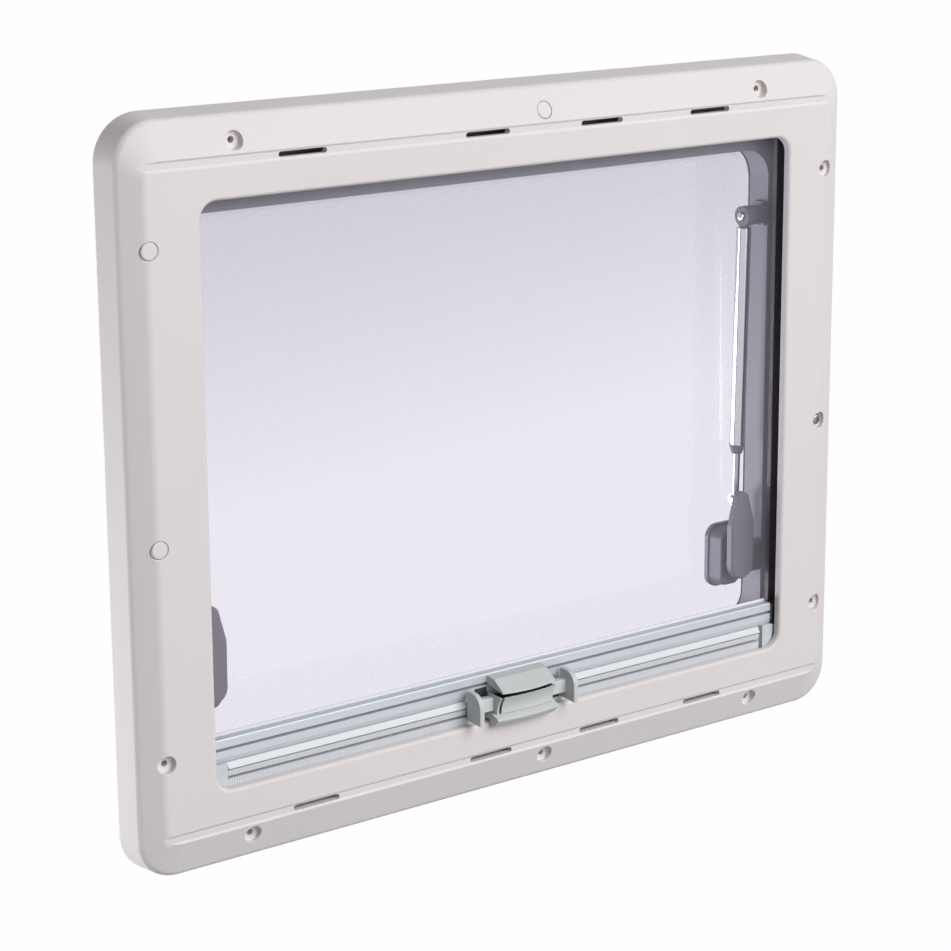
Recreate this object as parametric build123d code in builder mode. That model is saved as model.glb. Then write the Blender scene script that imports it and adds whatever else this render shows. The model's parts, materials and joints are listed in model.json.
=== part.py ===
"""Hinged caravan window with its inner blind frame, at real size in millimetres.

X runs to the right as seen from inside, Z is up, and -Y points into the room.
The origin lies on the outer frame's flange face, at the middle of its bottom edge,
so Y = 0 is the outer skin of the wall. Most sketches lie parallel to the wall:
level(inward) is the plane that many millimetres inside the outer skin.
"""

import os
from math import atan2, degrees, hypot

from build123d import *

os.makedirs("parts", exist_ok=True)

# View that the inner frame leaves clear, and the cut-out in the wall round it
view_w = 537
view_h = 433
view_r = 13
view_round = 2.8
cutout_side = 31.5
cutout_end = 33.5
cutout_r = 32
cutout_play = 3
wall = 28

# Outer frame: flange on the skin, collar through the cut-out, rails round the opening
flange_lap = 14
flange_top_lap = 22
flange_t = 3
collar_depth = 20
tongue_wall = 4
tongue_in = 44
tongue_end = 87
side_rail = 13.5
top_rail = 46
bottom_rail = 37
opening_r = 24

# Inner frame: drafted side wall, sloping bands, flat front round the view
rim_lap_x = 32
rim_lap_z = 29
rim_r = 34
frame_depth = 34
rim_draft = 3.6
band_drop = 9
side_band = 17.9
end_band = 28
flat_r = 14
shoulder_round = 6
band_round = 12
shell = 3.2
lip = 3.5
lip_depth = 6
nest_play = 0.3
nest_t = 3
nest_from = 30

# Fixing screws of the inner frame, measured from the edges and the middle of the view
corner_screw_in = 29.5
mid_screw_x = 26
end_screw_out = 40.5
side_screw_out = 40
upper_screw_in = 29.5
mid_screw_z = -25.5
lower_screw_in = 31
screw_d = 5
head_d = 13.3
head_depth = 5.5
boss_wall = 2
cap_play = 0.25
cap_round = 1.2

# Vent grooves and slots
groove_out = 27.8
groove_over = 49.5
groove_w = 8.4
groove_floor = 4.4
groove_t = 1.2
slot_len = 39.5
slot_w = 4.2
slot_wall = 1.5
slot_depth = 7
outer_slot_in = 83
inner_slot_pitch = 106

# Side tracks and the two rollers
track_play = 0.3
track_w = 14
track_d = 20.3
track_wall = 2.5
track_web = 2
track_slot = 13.3
roller_d = 20
roller_out = 12.5
roller_play = 1
roller_pin_d = 6
pin_play = 0.3
pin_reach = 7
pin_room = 1
bearing_half = 9
bearing_t = 12

# Flyscreen, blind and their pull bars
sheet_behind = 16
sheet_t = 0.6
sheet_grip = 7.7
screen_bar_up = 36.5
screen_bar_h = 18
screen_bar_d = 9
screen_bar_short = 6.3
screen_bar_behind = 9
bar_groove_w = 2.2
bar_groove_t = 5
bar_groove_drop = 6.9
bar_edge_round = 1.2
bar_foot_h = 3.5
bar_foot_t = 0.9
bar_gap = 0.4
strip_behind = 7
blind_bar_d = 11
ridge_out = 1.5
ridge_h = 4.3
ridge_slope = 3
line_h = 1.6
line_t = 2
strip_h = 4.3
blind_groove_w = 2.1
blind_groove_t = 5.5
strip_end_h = 8
plug_short = 5.3
plug_len = 10.8
plug_neck = 3.8
plug_neck_t = 5
guide_grip = 10.7
guide_play = 1
slide_play = 0.3

# Catch that couples the two bars
visor_half = 25.2
visor_down = 1.2
visor_brow = 0.3
visor_brow_drop = 1
visor_out = 15
visor_drop = 8.4
visor_edge = 0.8
visor_root_h = 7.5
catch_bow = 2.8
pull_half = 26.7
pull_gap = 2.8
pull_out = 14.5
pull_back_gap = 3
pull_face_drop = 14.6
pull_face_in = 5.5
pull_face_hollow = 1.2
pull_lip_drop = 3.2
pull_lip_t = 2
pull_lip_over = 2.5
pull_lip_back = 2.5
pull_lip_fall = 5.5
pull_under = 7
pull_stand = 1
pull_foot_up = 2
tab_x = 45
tab_t = 4.5
tab_out = 13.5
tab_drop = 8.3
tab_h = 24.4
tab_round = 11
stem_drop = 1.5
stem_h = 11
stem_d = 6

# Panes and seal
pane_inside = 2
pane_in_t = 2
pane_out_t = 3
pane_inset = 6
pane_slope = 4
pane_bond = 16
pane_lap = 6
pane_r = 38
seal_w = 9
seal_t = 3
dome_rise = 8
dome_inset = 18
dome_round = 5

# Hinge along the top edge
hinge_short = 36
bead_d = 6
bead_play = 0.3
socket_wall = 2
bead_rise = 7
clip_h = 12
clip_t = 2
neck_t = 2
neck_mouth = 5.5
foot_t = 2

# Gas stays, hung from the jambs
stay_from_jamb = 22
stay_top_drop = 55
stay_top_in = 16
stay_foot_up = 52
stay_foot_in = 11
eye_d = 17
eye_w = 6
stay_pin_d = 6
stay_pin_end = 1
arm_d = 16
bracket_t = 3
bracket_h = 20
bracket_r = 3
bracket_near = 4
tube_d = 12.5
tube_wall = 1.2
tube_from = 9.5
rod_show = 48.6
rod_hidden = 47
stay_plug = 14
plug_play = 0.2
collar_len = 8
collar_d = 13.6
collar_tip_d = 9
rod_d = 6
rod_play = 0.2
lug_d = 11
lug_w = 7

# Swivel latches, placed from the jamb and the opening's bottom edge
latch_from_jamb = 30
latch_up = 60
base_in = 17.5
base_out = 12
base_over = 31
base_under = 24
base_r = 11
base_t = 17
base_foot_t = 4
base_step = 1.5
base_draft = 12
base_edge = 1.5
ear_t = 3
ear_play = 0.4
ear_root = 14
recess_r = 8
recess_t = 4
recess_up = 16
button_d = 6
button_t = 1.2
button_in = 9
button_under = 14
lever_over = 63.5
lever_top_r = 6.8
lever_mid_up = 34
lever_mid_r = 12.4
lever_end_r = 12.2
lever_t = 7
lever_gap = 6
lever_edge = 1.6
hub_d = 17
hub_play = 0.5
pivot_d = 7
tongue_reach = 17
tongue_h = 12
tongue_t = 4
catch_lap = 4.5
catch_h = 24
catch_t = 12
catch_play = 0.5

# Levels worked out from the sizes above
near = 0.01
cutout_w = view_w + 2 * cutout_side
cutout_h = view_h + 2 * cutout_end
center_z = cutout_h / 2 + flange_lap / 2
front = wall + frame_depth
shoulder = front - band_drop
collar_w = cutout_w - 2 * cutout_play
collar_h = cutout_h - 2 * cutout_play
collar_r = cutout_r - cutout_play
nest_w = collar_w + 2 * nest_play
nest_h = collar_h + 2 * nest_play
nest_r = collar_r + nest_play
flange_w = cutout_w + 2 * flange_lap
flange_bottom = -cutout_h / 2 - flange_lap
flange_top = cutout_h / 2 + flange_top_lap
open_w = collar_w - 2 * side_rail
open_top = collar_h / 2 - top_rail
open_bottom = -collar_h / 2 + bottom_rail
open_h = open_top - open_bottom
open_mid = (open_top + open_bottom) / 2
rim_w = cutout_w + 2 * rim_lap_x
rim_h = cutout_h + 2 * rim_lap_z
shoulder_w = rim_w - 2 * rim_draft
shoulder_h = rim_h - 2 * rim_draft
shoulder_r = rim_r - rim_draft
flat_w = shoulder_w - 2 * side_band
flat_h = shoulder_h - 2 * end_band
corner_screw_x = view_w / 2 - corner_screw_in
end_screw_z = view_h / 2 + end_screw_out
end_floor = head_depth + band_drop * (end_screw_z - flat_h / 2) / end_band
side_screw_x = view_w / 2 + side_screw_out
side_screw_z = (view_h / 2 - upper_screw_in, mid_screw_z, -view_h / 2 + lower_screw_in)
groove_z = view_h / 2 + groove_out
groove_angle = degrees(atan2((groove_w - groove_floor) / 2, groove_t))
groove_len = view_w + 2 * groove_over
outer_slot_x = view_w / 2 - outer_slot_in
screen_in = front - sheet_behind
track_front = front - shell
track_near = view_w / 2 + lip + track_play
track_back = track_front - track_d
slot_back = track_front - track_wall - track_slot
roller_z = view_h / 2 + roller_out
track_half = roller_z + bearing_half
roller_in = screen_in - sheet_t / 2 - pin_play - roller_d / 2
sheet_edge = track_near + sheet_grip
guide_end = track_near + guide_grip
screen_bar_top = -view_h / 2 + screen_bar_up
screen_bar_in = front - screen_bar_behind
screen_bar_end = track_near - screen_bar_short
blind_bar_top = screen_bar_top - screen_bar_h - bar_gap
strip_in = front - strip_behind
ridge_in = strip_in + ridge_out
plug_end = track_near - plug_short
plug_from = plug_end - plug_len
blind_bar_end = plug_from - plug_neck
pane_half_w = cutout_w / 2 + pane_lap
pane_half_h = cutout_h / 2 + pane_lap
hinge_half = pane_half_w - hinge_short
jamb_x = open_w / 2
latch_x = jamb_x - latch_from_jamb
latch_z = open_bottom + latch_up
stay_x = jamb_x - stay_from_jamb
stay_top_z = open_top - stay_top_drop
stay_foot_z = latch_z + stay_foot_up
stay_run = hypot(stay_top_z - stay_foot_z, stay_top_in - stay_foot_in)
tube_to = stay_run - rod_show
rod_from = tube_to - rod_hidden


def level(inward):
    """Plane parallel to the wall, inward mm inside its outer skin; its normal points into the room."""
    return Plane(origin=(0, -inward, center_z), x_dir=(1, 0, 0), z_dir=(0, -1, 0))


def side_plane(x):
    """Upright plane across the wall at x; local x runs into the room and local y runs up."""
    return Plane(origin=(x, 0, center_z), x_dir=(0, -1, 0), z_dir=(-1, 0, 0))


def stay_plane(s, distance):
    """Plane square to the stay on side s, that far below its top pivot."""
    top = Vector(s * stay_x, -stay_top_in, center_z + stay_top_z)
    foot = Vector(s * stay_x, -stay_foot_in, center_z + stay_foot_z)
    line = (foot - top).normalized()
    return Plane(origin=top + line * distance, x_dir=(1, 0, 0), z_dir=line)


def edges_at(piece, inward):
    """Edges of a piece that lie whole in the plane inward mm inside the outer skin."""
    return piece.edges().filter_by_position(Axis.Y, -inward - near, -inward + near)


def save(piece, name):
    """Label a finished piece and write it under its own name."""
    piece.part.label = name
    export_step(piece.part, f"parts/{name}.step")


SIDES = (("left", -1), ("right", 1))
END_X = (-corner_screw_x, mid_screw_x, corner_screw_x)
END_SPOTS = [(x, s * end_screw_z) for s in (1, -1) for x in END_X]
SIDE_SPOTS = [(s * side_screw_x, z) for s in (1, -1) for z in side_screw_z]
SCREW_SPOTS = END_SPOTS + SIDE_SPOTS
SLOT_SPOTS = [(x, s * groove_z) for s in (1, -1) for x in (
    -outer_slot_x, mid_screw_x - inner_slot_pitch / 2, mid_screw_x + inner_slot_pitch / 2, outer_slot_x)]

# Hollow behind the inner frame's skin, with screw pillars, slot rims, view lip and nesting rib left standing
with BuildPart() as hollow:
    with BuildSketch(level(wall)):
        RectangleRounded(rim_w - 2 * shell, rim_h - 2 * shell, rim_r - shell)
    with BuildSketch(level(shoulder - shell / 2)):
        RectangleRounded(shoulder_w - 2 * shell, shoulder_h - 2 * shell, shoulder_r - shell)
    with BuildSketch(level(front - shell)):
        RectangleRounded(flat_w - shell, flat_h - shell, flat_r)
    loft(ruled=True)
    with BuildSketch(level(front - lip_depth)):
        RectangleRounded(view_w + 2 * lip, view_h + 2 * lip, view_r + lip)
    extrude(amount=lip_depth, mode=Mode.SUBTRACT)
    with BuildSketch(level(nest_from)):
        RectangleRounded(nest_w + 2 * nest_t, nest_h + 2 * nest_t, nest_r + nest_t)
        RectangleRounded(nest_w, nest_h, nest_r, mode=Mode.SUBTRACT)
    extrude(amount=front - nest_from, mode=Mode.SUBTRACT)
    with BuildSketch(level(wall)):
        with Locations(*SCREW_SPOTS):
            Circle(head_d / 2 + boss_wall)
    extrude(amount=frame_depth, mode=Mode.SUBTRACT)
    with BuildSketch(level(front - slot_depth)):
        with Locations(*SLOT_SPOTS):
            SlotOverall(slot_len + 2 * slot_wall, slot_w + 2 * slot_wall)
    extrude(amount=slot_depth, mode=Mode.SUBTRACT)

# Inner frame: one moulding with drafted sides, sloping bands, grooves, slots and counterbored fixings
with BuildPart() as inner_frame:
    with BuildSketch(level(wall)):
        RectangleRounded(rim_w, rim_h, rim_r)
    with BuildSketch(level(shoulder)):
        RectangleRounded(shoulder_w, shoulder_h, shoulder_r)
    with BuildSketch(level(front)):
        RectangleRounded(flat_w, flat_h, flat_r)
    loft(ruled=True)
    fillet(edges_at(inner_frame, front), band_round)
    fillet(edges_at(inner_frame, shoulder), shoulder_round)
    with BuildSketch(level(front)):
        RectangleRounded(view_w, view_h, view_r)
    extrude(amount=-frame_depth, mode=Mode.SUBTRACT)
    add(hollow.part, mode=Mode.SUBTRACT)
    view_side = view_w / 2 + near
    view_low = center_z - view_h / 2 - near
    view_edges = edges_at(inner_frame, front).filter_by_position(Axis.X, -view_side, view_side)
    view_edges = view_edges.filter_by_position(Axis.Z, view_low, view_low + view_h + 2 * near)
    fillet(view_edges, view_round)
    with BuildSketch(level(front)):
        with Locations((0, groove_z), (0, -groove_z)):
            SlotOverall(groove_len, groove_w)
    extrude(amount=-groove_t, taper=groove_angle, mode=Mode.SUBTRACT)
    with BuildSketch(level(front)):
        with Locations(*SLOT_SPOTS):
            SlotOverall(slot_len, slot_w)
    extrude(amount=-slot_depth, mode=Mode.SUBTRACT)
    with Locations(level(front)):
        for spots, floor in ((END_SPOTS, end_floor), (SIDE_SPOTS, head_depth)):
            with Locations(*spots):
                CounterBoreHole(screw_d / 2, head_d / 2, floor, frame_depth)
save(inner_frame, "inner_frame")

# Cover caps in three of the counterbores, each level with the face round it and rounded at its edge
band_top = (0, -front, center_z + flat_h / 2)
band_plane = Plane(origin=band_top, x_dir=(1, 0, 0), z_dir=(0, -end_band, band_drop))
CAPS = (("top", (mid_screw_x, end_screw_z), end_floor, band_plane),
        ("left_upper", (-side_screw_x, side_screw_z[0]), head_depth, level(front)),
        ("left_middle", (-side_screw_x, side_screw_z[1]), head_depth, level(front)))
for place, spot, floor, face in CAPS:
    with BuildPart() as cap:
        with BuildSketch(level(front - floor)):
            with Locations(spot):
                Circle(head_d / 2 - cap_play)
        extrude(amount=2 * floor)
        split(bisect_by=face, keep=Keep.BOTTOM)
        fillet(cap.faces().sort_by(Axis.Y)[0].edges(), cap_round)
    save(cap, f"screw_cap_{place}")

# Side tracks: a slot for the sheets and bars, with a bearing block for each roller
for side, s in SIDES:
    with BuildPart() as track:
        with BuildSketch(level(track_front)):
            with Locations((s * (track_near + track_w / 2), 0)):
                Rectangle(track_w, 2 * track_half)
        extrude(amount=-track_d)
        with BuildSketch(level(track_front - track_wall)):
            with Locations((s * (track_near + (track_w - track_web) / 2), 0)):
                Rectangle(track_w - track_web, 2 * track_half)
        extrude(amount=-track_slot, mode=Mode.SUBTRACT)
        with BuildSketch(level(track_back)):
            with Locations(*[(s * (track_near + track_w / 2), k * roller_z) for k in (1, -1)]):
                Rectangle(track_w, 2 * bearing_half)
        extrude(amount=-bearing_t)
        with BuildSketch(side_plane(s * track_near)):
            with Locations((roller_in, roller_z), (roller_in, -roller_z)):
                Circle(roller_pin_d / 2 + pin_play)
        extrude(amount=-s * (pin_reach + pin_room), mode=Mode.SUBTRACT)
    save(track, f"side_track_{side}")

# Rollers at the top and bottom, with a pin at each end
for name, k in (("flyscreen_roller", 1), ("blind_roller", -1)):
    with BuildPart() as roller:
        with BuildSketch(side_plane(0)):
            with Locations((roller_in, k * roller_z)):
                Circle(roller_d / 2)
        extrude(amount=track_near - roller_play, both=True)
        with BuildSketch(side_plane(0)):
            with Locations((roller_in, k * roller_z)):
                Circle(roller_pin_d / 2)
        extrude(amount=track_near + pin_reach, both=True)
    save(roller, name)

# Flyscreen drawn right down, and the short strip of blind between its roller and bar
strip_top = blind_bar_top - ridge_h
line_low = strip_top - line_h
groove_top = line_low - strip_h
groove_low = groove_top - blind_groove_w
blind_bar_low = groove_low - strip_end_h
SHEETS = (("flyscreen", roller_z, screen_bar_top), ("blind_fabric", blind_bar_low, -roller_z))
for name, upper, lower in SHEETS:
    with BuildPart() as sheet:
        with BuildSketch(level(screen_in - sheet_t / 2)):
            with Locations((0, (upper + lower) / 2)):
                Rectangle(2 * sheet_edge, upper - lower)
        extrude(amount=sheet_t)
    save(sheet, name)

# Flyscreen bar: grooved extrusion with a bevelled foot, and a guide in each side track
screen_bar_low = screen_bar_top - screen_bar_h
with BuildPart() as screen_bar:
    with BuildSketch(side_plane(0)):
        with BuildLine():
            Polyline(
                (screen_bar_in - screen_bar_d, screen_bar_top),
                (screen_bar_in, screen_bar_top),
                (screen_bar_in, screen_bar_low + bar_foot_h),
                (screen_bar_in - bar_foot_t, screen_bar_low),
                (screen_bar_in - screen_bar_d, screen_bar_low),
                close=True)
        make_face()
        with Locations((screen_bar_in, screen_bar_top - bar_groove_drop - bar_groove_w / 2)):
            Rectangle(2 * bar_groove_t, bar_groove_w, mode=Mode.SUBTRACT)
    extrude(amount=screen_bar_end, both=True)
    top_edges = screen_bar.edges().filter_by(Axis.X).group_by(Axis.Z)[-1]
    fillet(top_edges.sort_by(Axis.Y)[0], bar_edge_round)
save(screen_bar, "flyscreen_bar")

for side, s in SIDES:
    with BuildPart() as guide:
        with BuildSketch(level(slot_back + slide_play)):
            with Locations((s * (screen_bar_end + guide_end) / 2, screen_bar_top - screen_bar_h / 2)):
                Rectangle(guide_end - screen_bar_end, screen_bar_h - 2 * guide_play)
        extrude(amount=screen_bar_in - slot_back - slide_play)
    save(guide, f"flyscreen_guide_{side}")

# Blind bar: extrusion with a sloping ridge, a shadow line and two flat strips parted by a groove
blind_bar_back = strip_in - blind_bar_d
with BuildPart() as blind_bar:
    with BuildSketch(side_plane(-plug_from)):
        with BuildLine():
            Polyline(
                (blind_bar_back, blind_bar_low),
                (strip_in, blind_bar_low),
                (strip_in, groove_low),
                (strip_in - blind_groove_t, groove_low),
                (strip_in - blind_groove_t, groove_top),
                (strip_in, groove_top),
                (strip_in, line_low),
                (strip_in - line_t, line_low),
                (strip_in - line_t, strip_top),
                (ridge_in, strip_top),
                (ridge_in - ridge_slope, blind_bar_top),
                (blind_bar_back, blind_bar_top),
                close=True)
        make_face()
    extrude(amount=-(plug_from + blind_bar_end))
save(blind_bar, "blind_bar")

# End plugs: a block with a guide that runs in the side track; the right one stands off the bar on a neck
for side, s in SIDES:
    with BuildPart() as plug:
        with BuildSketch(level(blind_bar_back)):
            with Locations((s * (plug_from + plug_end) / 2, (blind_bar_top + blind_bar_low) / 2)):
                Rectangle(plug_len, blind_bar_top - blind_bar_low)
        extrude(amount=blind_bar_d)
        if side == "right":
            with BuildSketch(level(blind_bar_back)):
                with Locations(((blind_bar_end + plug_from) / 2, (blind_bar_top + blind_bar_low) / 2)):
                    Rectangle(plug_neck, blind_bar_top - blind_bar_low)
            extrude(amount=blind_bar_d - plug_neck_t)
        with BuildSketch(level(slot_back + slide_play)):
            with Locations((s * (plug_end + guide_end) / 2, (blind_bar_top + blind_bar_low) / 2)):
                Rectangle(guide_end - plug_end, blind_bar_top - blind_bar_low - 2 * guide_play)
        extrude(amount=strip_in - guide_play - slot_back - slide_play)
    save(plug, f"blind_bar_cap_{side}")


def bow(half, tip):
    """Plan outline of one half of the catch, whose front edge bows out to tip at the middle."""
    with BuildLine() as line:
        Polyline((-half, -tip + catch_bow), (-half, 0), (half, 0), (half, -tip + catch_bow))
        ThreePointArc((-half, -tip + catch_bow), (0, -tip), (half, -tip + catch_bow))
    return line


# Catch, upper half: a visor on the flyscreen bar that slopes out to a bowed edge
visor_top = screen_bar_top - visor_down
visor_low = visor_top - visor_brow_drop - visor_drop - visor_edge
visor_tip = front + visor_out
with BuildPart() as catch_cap:
    with BuildSketch(side_plane(0)):
        with BuildLine():
            Polyline(
                (screen_bar_in, visor_top),
                (front + visor_brow, visor_top - visor_brow_drop),
                (visor_tip, visor_low + visor_edge),
                (visor_tip, visor_low),
                (screen_bar_in, visor_top - visor_root_h),
                close=True)
        make_face()
    extrude(amount=visor_half, both=True)
    with BuildSketch(Plane.XY.offset(center_z + visor_low - screen_bar_h)):
        add(bow(visor_half, visor_tip).line)
        make_face()
    extrude(amount=2 * screen_bar_h, mode=Mode.INTERSECT)
save(catch_cap, "catch_cap")

# Catch, lower half: finger pull on the blind bar, with a hollow face and a lip in front of the frame
pull_top = visor_low - pull_gap
pull_tip = front + pull_out
face_low = pull_top - pull_face_drop
lip_low = face_low - pull_lip_drop - pull_lip_t
pull_low = lip_low - pull_lip_fall
with BuildPart() as catch_pull:
    with BuildSketch(side_plane(0)):
        with BuildLine():
            Polyline(
                (strip_in, strip_top),
                (ridge_in, strip_top),
                (ridge_in - ridge_slope, blind_bar_top),
                (screen_bar_in + pull_back_gap, blind_bar_top),
                (screen_bar_in + pull_back_gap, pull_top),
                (pull_tip, pull_top))
            ThreePointArc(
                (pull_tip, pull_top),
                (pull_tip - pull_face_in / 2 - pull_face_hollow, (pull_top + face_low) / 2),
                (pull_tip - pull_face_in, face_low))
            Polyline(
                (pull_tip - pull_face_in, face_low),
                (pull_tip, face_low - pull_lip_drop),
                (pull_tip, lip_low),
                (pull_tip - pull_lip_back, pull_low + pull_foot_up),
                (pull_tip - pull_under, pull_low),
                (front + pull_stand, pull_low + pull_foot_up),
                (front + pull_stand, lip_low),
                (strip_in, lip_low),
                (strip_in, strip_top))
        make_face()
    extrude(amount=pull_half + pull_lip_over, both=True)
    with BuildSketch(Plane.XY.offset(center_z + pull_low - screen_bar_h)):
        add(bow(pull_half + pull_lip_over, pull_tip).line)
        make_face()
    extrude(amount=3 * screen_bar_h, mode=Mode.INTERSECT)
    with BuildSketch(level(screen_bar_in)):
        with Locations(*[(k * (pull_half + pull_lip_over), (visor_low + face_low) / 2) for k in (1, -1)]):
            Rectangle(2 * pull_lip_over, visor_low - face_low)
    extrude(amount=2 * pull_out, both=True, mode=Mode.SUBTRACT)
save(catch_pull, "catch_pull")

# Release tabs either side of the pull, each a rounded plate on a stem
tab_top = screen_bar_top - tab_drop
tab_low = tab_top - tab_h
tab_tip = front + tab_out
tab_back = ridge_in + slide_play
arc_from = tab_tip - tab_round
stem_top = pull_top - stem_drop
for side, s in SIDES:
    with BuildPart() as tab:
        with BuildSketch(side_plane(s * tab_x)):
            with BuildLine():
                Polyline((tab_back, tab_low), (tab_back, tab_top), (arc_from, tab_top))
                TangentArc((arc_from, tab_top), (tab_tip, tab_top - tab_round), tangent=(1, 0))
                Polyline((tab_tip, tab_top - tab_round), (tab_tip, tab_low), (tab_back, tab_low))
            make_face()
        extrude(amount=tab_t / 2, both=True)
        with BuildSketch(side_plane(s * pull_half)):
            with Locations((front, stem_top - stem_h / 2)):
                Rectangle(stem_d, stem_h)
        extrude(amount=-s * (tab_x - pull_half))
    save(tab, f"catch_tab_{side}")

# Outer frame: flange on the skin, and a collar whose four tongues nest inside the inner frame's rib
with BuildPart() as outer_frame:
    with BuildSketch(level(0)):
        with Locations((0, (flange_top + flange_bottom) / 2)):
            RectangleRounded(flange_w, flange_top - flange_bottom, cutout_r + flange_lap)
    extrude(amount=-flange_t)
    with BuildSketch(level(0)):
        RectangleRounded(collar_w, collar_h, collar_r)
    extrude(amount=collar_depth)
    with BuildSketch(level(collar_depth)):
        with Locations(*[(0, k * (collar_h - tongue_wall) / 2) for k in (1, -1)]):
            Rectangle(collar_w - 2 * tongue_end, tongue_wall)
        with Locations(*[(k * (collar_w - tongue_wall) / 2, 0) for k in (1, -1)]):
            Rectangle(tongue_wall, collar_h - 2 * tongue_end)
    extrude(amount=tongue_in - collar_depth)
    with BuildSketch(level(collar_depth)):
        with Locations((0, open_mid)):
            RectangleRounded(open_w, open_h, opening_r)
    extrude(amount=-(collar_depth + flange_t), mode=Mode.SUBTRACT)
save(outer_frame, "outer_frame")

# Rubber seal on the flange's outer face, round the opening
with BuildPart() as seal:
    with BuildSketch(level(-flange_t)):
        with Locations((0, open_mid)):
            for lap, mode in ((seal_w, Mode.ADD), (0, Mode.SUBTRACT)):
                RectangleRounded(open_w + 2 * lap, open_h + 2 * lap, opening_r + lap, mode=mode)
    extrude(amount=-seal_t)
save(seal, "frame_seal")

# Inner pane: formed acrylic tray that stands into the opening, bonded by its rim
bond_level = -(flange_t + seal_t)
slope_angle = degrees(atan2(pane_slope, pane_inside - bond_level))
with BuildPart() as inner_pane:
    with BuildSketch(level(bond_level)):
        with Locations((0, open_mid)):
            RectangleRounded(open_w + 2 * pane_bond, open_h + 2 * pane_bond, opening_r + pane_bond)
    extrude(amount=-pane_in_t)
    with BuildSketch(level(bond_level)):
        with Locations((0, open_mid)):
            inset = 2 * (pane_inset - pane_slope)
            RectangleRounded(open_w - inset, open_h - inset, opening_r)
    extrude(amount=pane_inside - bond_level, taper=slope_angle)
    with BuildSketch(level(bond_level - pane_in_t)):
        with Locations((0, open_mid)):
            inset = 2 * (pane_inset - pane_slope + pane_in_t)
            RectangleRounded(open_w - inset, open_h - inset, opening_r - pane_in_t)
    extrude(amount=pane_inside - bond_level, taper=slope_angle, mode=Mode.SUBTRACT)
save(inner_pane, "inner_pane")

# Outer pane: larger sheet that covers the flange, raised in a shallow dome
pane_back = bond_level - pane_in_t
with BuildPart() as outer_pane:
    with BuildSketch(level(pane_back)):
        RectangleRounded(2 * pane_half_w, 2 * pane_half_h, pane_r)
    extrude(amount=-pane_out_t)
    with BuildSketch(level(pane_back - pane_out_t)):
        RectangleRounded(2 * (pane_half_w - dome_inset), 2 * (pane_half_h - dome_inset), pane_r)
    extrude(amount=-dome_rise, taper=45)
    fillet(outer_pane.edges().group_by(Axis.Y)[-1], dome_round)
    with BuildSketch(level(pane_back)):
        inset = 2 * (dome_inset + pane_out_t)
        RectangleRounded(2 * pane_half_w - inset, 2 * pane_half_h - inset, pane_r - pane_out_t)
    extrude(amount=-dome_rise, taper=45, mode=Mode.SUBTRACT)
save(outer_pane, "outer_pane")

# Hinge: a clip with a bead on the pane's top edge, held in a socket rail on the flange
bead_in = pane_back - pane_out_t / 2
bead_z = pane_half_h + bead_rise
with BuildPart() as hinge_strip:
    with BuildSketch(side_plane(0)):
        with Locations((bead_in, bead_z)):
            Circle(bead_d / 2)
        with Locations((bead_in, pane_half_h + bead_rise / 2)):
            Rectangle(neck_t, bead_rise)
        with Locations((bead_in, pane_half_h + clip_t - clip_h / 2)):
            Rectangle(pane_out_t + 2 * clip_t, clip_h)
        with Locations((bead_in, pane_half_h - clip_h / 2)):
            Rectangle(pane_out_t, clip_h, mode=Mode.SUBTRACT)
    extrude(amount=hinge_half, both=True)
save(hinge_strip, "pane_hinge_strip")

socket_r = bead_d / 2 + bead_play
with BuildPart() as hinge_rail:
    with BuildSketch(side_plane(0)):
        with Locations((bead_in, bead_z)):
            Circle(socket_r + socket_wall)
        with Locations(((bead_in - flange_t) / 2, bead_z)):
            Rectangle(abs(bead_in + flange_t), 2 * socket_wall)
        with Locations((-flange_t - foot_t / 2, bead_z + socket_wall)):
            Rectangle(foot_t, 2 * socket_r + 2 * socket_wall)
        with Locations((bead_in, bead_z)):
            Circle(socket_r, mode=Mode.SUBTRACT)
        with Locations((bead_in, bead_z - socket_r)):
            Rectangle(neck_mouth, 2 * socket_r, mode=Mode.SUBTRACT)
    extrude(amount=hinge_half, both=True)
save(hinge_rail, "hinge_rail")

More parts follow.
